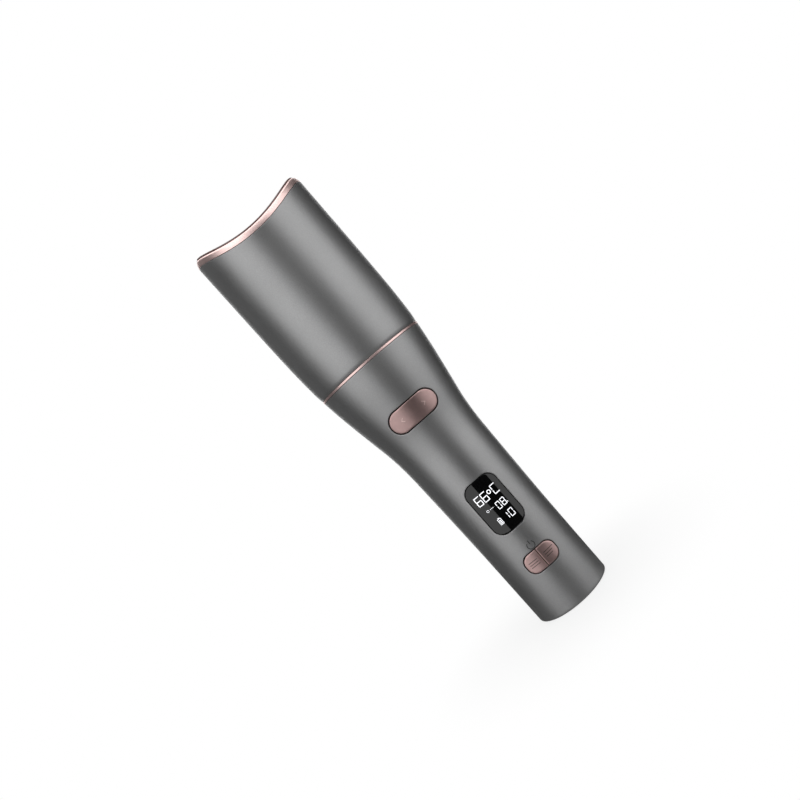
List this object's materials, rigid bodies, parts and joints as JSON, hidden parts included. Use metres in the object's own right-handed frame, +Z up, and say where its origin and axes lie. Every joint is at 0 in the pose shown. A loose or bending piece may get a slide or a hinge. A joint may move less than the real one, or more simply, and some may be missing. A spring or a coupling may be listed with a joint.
{
  "type": "curling iron",
  "caption": "Cordless automatic hair curler: flared handle with display and keys, and a wave-mouthed chamber round a heated barrel with a turning hair rotor.",
  "frame": {"origin": "centre of the flat base, on the surface that the curler stands on", "axes": "+Z up the handle towards the mouth; -Y is the front, with the display and the keys"},
  "size_m": [0.0568, 0.0564, 0.21],
  "materials": {
    "shell": "satin dark grey metallic lacquer over moulded shells",
    "rose_gold": "satin rose gold plating",
    "dark_plastic": "matte black plastic",
    "display_pane": "smoked glossy pane",
    "ceramic": "dark ceramic coating",
    "steel": "plain steel",
    "aluminium": "plain aluminium",
    "brass": "plain brass",
    "board": "green solder mask",
    "cell_wrap": "blue shrink wrap",
    "white_plastic": "natural plastic",
    "component_black": "black component bodies",
    "silicone_red": "red silicone insulation"
  },
  "bodies": {
    "body": {"barrel_housing": "shell", "heat_shield": "aluminium", "mouth_trim_ring": "rose_gold", "mouth_lip": "dark_plastic", "seam_ring": "rose_gold", "handle_front_shell": "shell", "handle_rear_shell": "shell", "display_window": "display_pane", "base_cap": "dark_plastic", "base_screw_left": "steel", "base_screw_right": "steel", "charge_board": "board", "usb_socket": "steel", "chassis_frame": "white_plastic", "battery_cell": "cell_wrap", "cell_tab_lower": "steel", "cell_tab_upper": "steel", "board_screw_lower": "steel", "board_screw_upper": "steel", "main_board": "board", "buzzer": "component_black", "lcd_panel": "component_black", "lcd_holder": "white_plastic", "power_switch": "component_black", "set_switch": "component_black", "rocker_switch_left": "component_black", "rocker_switch_right": "component_black", "rocker_pin": "steel", "rocker_bracket": "component_black", "motor_screw_left": "steel", "motor_screw_right": "steel", "frame_screw_left": "steel", "frame_screw_right": "steel", "foot_screw_left": "steel", "foot_screw_right": "steel", "bulkhead": "dark_plastic", "drive_motor": "steel", "gearbox": "steel", "rotor_bushing": "brass", "home_sensor": "component_black", "barrel_stem": "steel", "barrel_base": "white_plastic", "heated_barrel": "ceramic", "barrel_tip": "dark_plastic", "heater_plate": "white_plastic", "heat_spreader_front": "aluminium", "heat_spreader_rear": "aluminium", "thermistor": "component_black", "thermal_fuse": "component_black", "heater_lead": "silicone_red"},
    "rotor": {"hair_rotor": "dark_plastic", "rotor_ring_gear": "white_plastic", "home_magnet": "steel"},
    "pinion": {"drive_pinion": "brass", "output_shaft": "steel"},
    "direction_switch": {"direction_rocker": "rose_gold"},
    "power_key": {"power_button": "rose_gold"},
    "set_key": {"set_button": "rose_gold"}
  },
  "joints": [
    {"name": "rotor_spin", "type": "hinge", "parent": "body", "child": "rotor", "pos_m": [0, 0, 0.138], "axis": [0, 0, 1], "continuous": true},
    {"name": "pinion_spin", "type": "hinge", "parent": "body", "child": "pinion", "pos_m": [0, 0.0102, 0.1335], "axis": [0, 0, 1], "continuous": true},
    {"name": "direction_rock", "type": "hinge", "parent": "body", "child": "direction_switch", "pos_m": [0, -0.01551, 0.1028], "axis": [0, 0, 1], "range_deg": [-3, 3], "stiffness_Nm_per_rad": 0.1},
    {"name": "power_press", "type": "slide", "parent": "body", "child": "power_key", "axis": [0, 1, 0], "range_m": [0, 0.0004], "stiffness_N_per_m": 800},
    {"name": "set_press", "type": "slide", "parent": "body", "child": "set_key", "axis": [0, 1, 0], "range_m": [0, 0.0004], "stiffness_N_per_m": 800}
  ],
  "couplings": [
    {"joint": "pinion_spin", "follows": "rotor_spin", "ratio": 3.125}
  ]
}
